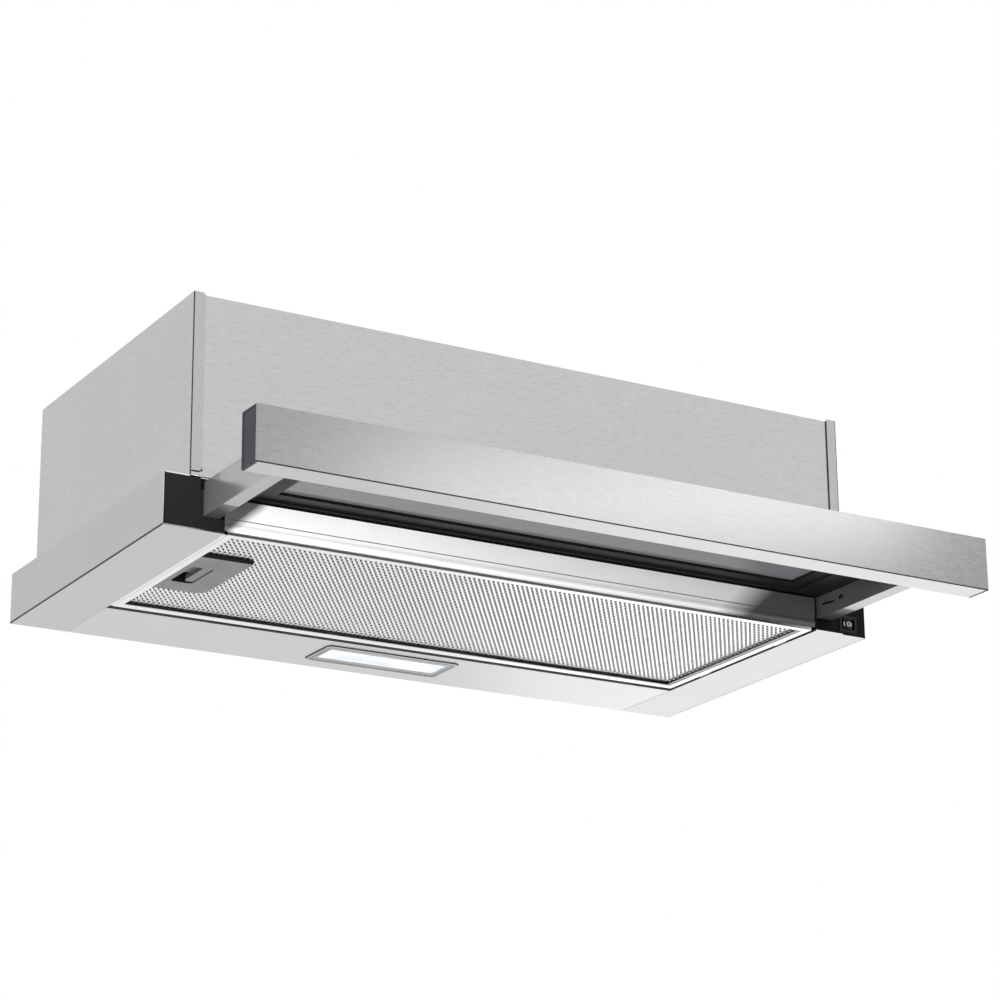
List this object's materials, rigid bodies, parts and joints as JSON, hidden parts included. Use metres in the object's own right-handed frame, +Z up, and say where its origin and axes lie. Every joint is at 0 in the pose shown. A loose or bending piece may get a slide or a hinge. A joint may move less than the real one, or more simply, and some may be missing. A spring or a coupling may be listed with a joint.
{
  "type": "pull-out range hood",
  "caption": "Telescopic cooker hood for a wall cabinet, with a sliding fascia and smoked visor, a hinged grease filter, a lamp, a rocker switch, a centrifugal fan and a round duct collar.",
  "frame": {"origin": "middle of the front bottom edge of the lower frame, the line that the installer sets level with the cabinet's front", "axes": "+X to the hood's right as seen from the front, +Y to the rear, towards the wall, +Z up"},
  "size_m": [0.598, 0.4262, 0.208],
  "materials": {
    "casing_steel": "fine straight brushing under a clear coat",
    "bright_steel": "bright, nearly mirror-like rolled sheet",
    "aluminium_mesh": "expanded aluminium layers",
    "cap_plastic": "fine moulded texture",
    "switch_plastic": "gloss black",
    "bezel_plastic": "clear grey, satin",
    "lens_plastic": "milky diffuser",
    "white_plastic": "moulded, matt",
    "grey_plastic": "moulded, matt",
    "black_plastic": "moulded, matt",
    "galvanised_steel": "zinc coated",
    "polished_steel": "ground and polished",
    "copper_wire": "enamelled copper windings",
    "fascia_steel": "long horizontal brushing",
    "end_cap_plastic": "satin blue-grey",
    "arm_paint": "satin grey paint",
    "visor_glass": "smoked",
    "latch_plastic": "satin olive grey"
  },
  "bodies": {
    "hood": {"side_panel_left": "casing_steel", "side_panel_right": "casing_steel", "front_panel": "casing_steel", "back_panel": "casing_steel", "top_panel": "casing_steel", "skirt_left": "casing_steel", "skirt_right": "casing_steel", "rear_strip": "casing_steel", "front_rail": "bright_steel", "corner_cap_left": "cap_plastic", "corner_cap_right": "cap_plastic", "switch_housing": "switch_plastic", "lamp_bezel": "bezel_plastic", "lamp_lens": "lens_plastic", "lamp_board": "white_plastic", "lamp_driver": "white_plastic", "outlet_collar": "black_plastic", "damper_rod": "galvanised_steel", "scroll_left": "black_plastic", "scroll_right": "black_plastic", "motor_case": "galvanised_steel", "motor_end_shield": "galvanised_steel", "motor_stator": "copper_wire", "motor_bearings": "polished_steel", "motor_bracket": "galvanised_steel", "capacitor": "white_plastic", "terminal_box": "black_plastic", "cable_gland": "black_plastic", "wiring_loom": "black_plastic", "outer_rail_left": "galvanised_steel", "outer_rail_right": "galvanised_steel", "drawer_switch": "black_plastic", "frame_screws": "galvanised_steel"},
    "drawer": {"fascia": "fascia_steel", "fascia_carrier": "black_plastic", "end_cap_left": "end_cap_plastic", "end_cap_right": "end_cap_plastic", "arm_left": "arm_paint", "arm_right": "arm_paint", "inner_rail_left": "galvanised_steel", "inner_rail_right": "galvanised_steel", "visor_frame": "black_plastic", "visor_glass": "visor_glass", "fascia_screws": "galvanised_steel"},
    "cage_left": {"ball_cage_left": "galvanised_steel", "rail_balls_left": "polished_steel"},
    "cage_right": {"ball_cage_right": "galvanised_steel", "rail_balls_right": "polished_steel"},
    "filter": {"filter_frame": "bright_steel", "filter_mesh": "aluminium_mesh", "latch_plate": "latch_plastic", "latch_spring": "polished_steel"},
    "latch": {"latch_slider": "latch_plastic"},
    "rocker": {"switch_rocker": "switch_plastic"},
    "fan": {"impeller": "black_plastic", "motor_rotor": "galvanised_steel", "motor_shaft": "polished_steel"},
    "flap_front": {"damper_flap_front": "grey_plastic"},
    "flap_rear": {"damper_flap_rear": "grey_plastic"},
    "plunger": {"switch_plunger": "white_plastic"}
  },
  "joints": [
    {"name": "drawer_slide", "type": "slide", "parent": "hood", "child": "drawer", "axis": [0, -1, 0], "range_m": [-0.1265, 0]},
    {"name": "cage_left_slide", "type": "slide", "parent": "hood", "child": "cage_left", "axis": [0, -1, 0], "range_m": [-0.06325, 0]},
    {"name": "cage_right_slide", "type": "slide", "parent": "hood", "child": "cage_right", "axis": [0, -1, 0], "range_m": [-0.06325, 0]},
    {"name": "filter_hinge", "type": "hinge", "parent": "hood", "child": "filter", "pos_m": [0.2509, 0.1, 0.002], "axis": [0, -1, 0], "range_deg": [0, 30]},
    {"name": "latch_slide", "type": "slide", "parent": "filter", "child": "latch", "axis": [1, 0, 0], "range_m": [0, 0.005], "stiffness_N_per_m": 150, "deforming": ["latch_spring"]},
    {"name": "rocker_tilt", "type": "hinge", "parent": "hood", "child": "rocker", "pos_m": [0.2809, 0.006, 0.00925], "axis": [0, 0, 1], "range_deg": [-10, 10]},
    {"name": "fan_spin", "type": "hinge", "parent": "hood", "child": "fan", "pos_m": [0, 0.10416, 0.103], "axis": [1, 0, 0], "continuous": true},
    {"name": "flap_front_swing", "type": "hinge", "parent": "hood", "child": "flap_front", "pos_m": [0, 0.14, 0.1832], "axis": [-1, 0, 0], "range_deg": [0, 80]},
    {"name": "flap_rear_swing", "type": "hinge", "parent": "hood", "child": "flap_rear", "pos_m": [0, 0.14, 0.1832], "axis": [1, 0, 0], "range_deg": [0, 80]},
    {"name": "plunger_press", "type": "slide", "parent": "hood", "child": "plunger", "axis": [0, 1, 0], "range_m": [0, 0.002], "stiffness_N_per_m": 200}
  ],
  "couplings": [
    {"joint": "cage_left_slide", "follows": "drawer_slide", "ratio": 0.5},
    {"joint": "cage_right_slide", "follows": "drawer_slide", "ratio": 0.5}
  ]
}
